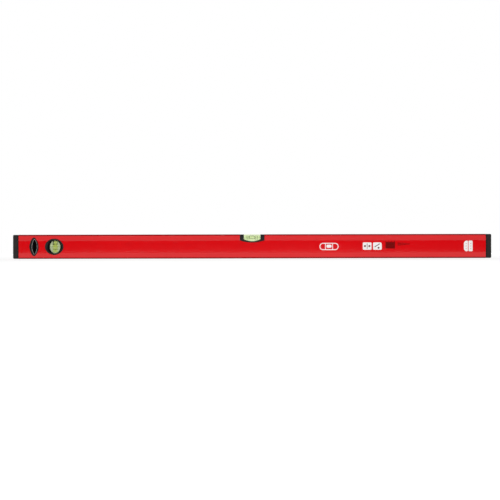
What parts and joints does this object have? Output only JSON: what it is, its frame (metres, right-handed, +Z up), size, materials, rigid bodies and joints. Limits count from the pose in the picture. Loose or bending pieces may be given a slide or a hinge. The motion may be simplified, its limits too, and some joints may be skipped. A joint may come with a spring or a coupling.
{
  "type": "spirit level",
  "caption": "Slim red box-section spirit level with a level vial in the top edge, a plumb vial and a hang hole near one end, and dark end caps.",
  "frame": {"origin": "middle of the base measuring face, on the beam's centre plane", "axes": "+X along the beam away from the plumb vial, the printed front faces -Y, +Z up from the base face"},
  "size_m": [1, 0.022, 0.0505],
  "materials": {
    "red_powder_coat": "red powder coat over an aluminium extrusion, bare milled base",
    "black_plastic": "black moulded plastic with a fine grain",
    "cap_rubber": "dark grey soft rubber",
    "clear_acrylic": "clear polished acrylic",
    "vial_liquid": "clear yellow-green liquid",
    "air_bubble": "air",
    "line_ink": "black printed rings"
  },
  "bodies": {
    "level": {"profile": "red_powder_coat", "end_cap_core_left": "black_plastic", "end_cap_core_right": "black_plastic", "end_cap_bumper_left": "cap_rubber", "end_cap_bumper_right": "cap_rubber", "hang_liner_front": "black_plastic", "hang_liner_back": "black_plastic", "plumb_surround_front": "black_plastic", "plumb_surround_back": "black_plastic", "plumb_vial_body": "clear_acrylic", "plumb_vial_plug": "clear_acrylic", "plumb_vial_liquid": "vial_liquid", "plumb_vial_lines": "line_ink", "level_housing_front": "black_plastic", "level_housing_back": "black_plastic", "level_vial_body": "clear_acrylic", "level_vial_plug": "clear_acrylic", "level_vial_liquid": "vial_liquid", "level_vial_lines": "line_ink"},
    "level_bubble": {"level_vial_bubble": "air_bubble"},
    "plumb_bubble": {"plumb_vial_bubble": "air_bubble"}
  },
  "joints": [
    {"name": "level_bubble_travel", "type": "slide", "parent": "level", "child": "level_bubble", "axis": [1, 0, 0], "range_m": [-0.009, 0.009], "stiffness_N_per_m": 0.5, "deforming": ["level_vial_liquid"]},
    {"name": "plumb_bubble_travel", "type": "slide", "parent": "level", "child": "plumb_bubble", "axis": [0, 0, 1], "range_m": [-0.015, 0], "stiffness_N_per_m": 1.5, "springref_m": 0.02, "deforming": ["plumb_vial_liquid"]}
  ]
}
